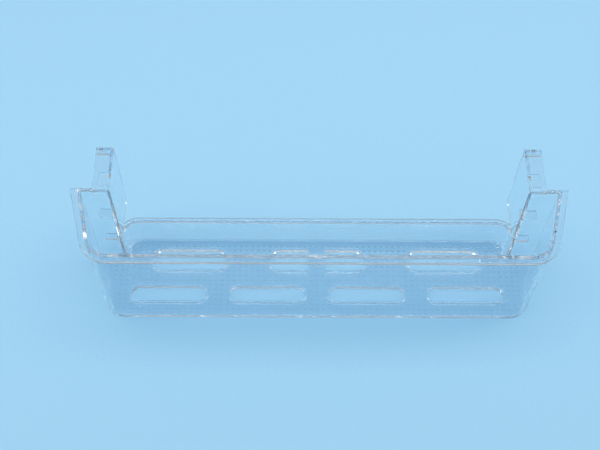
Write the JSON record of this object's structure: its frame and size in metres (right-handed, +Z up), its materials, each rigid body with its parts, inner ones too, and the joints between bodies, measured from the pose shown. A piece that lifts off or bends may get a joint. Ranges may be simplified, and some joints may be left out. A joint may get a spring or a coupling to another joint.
{
  "type": "fridge door tray",
  "caption": "Clear moulded fridge door tray: a deep trough with a rim lip, a slotted floor, stepped shoulders, a low back wall and a hook bracket behind each shoulder.",
  "frame": {"origin": "centre of the bounding box in X and Y, on the plane that the tray stands on", "axes": "+X along the tray's width, +Y from the front wall towards the door, +Z up"},
  "size_m": [0.4234, 0.114, 0.118],
  "materials": {
    "clear_plastic": "water-clear, polished"
  },
  "bodies": {
    "root": {"door_tray": "clear_plastic"}
  },
  "joints": []
}
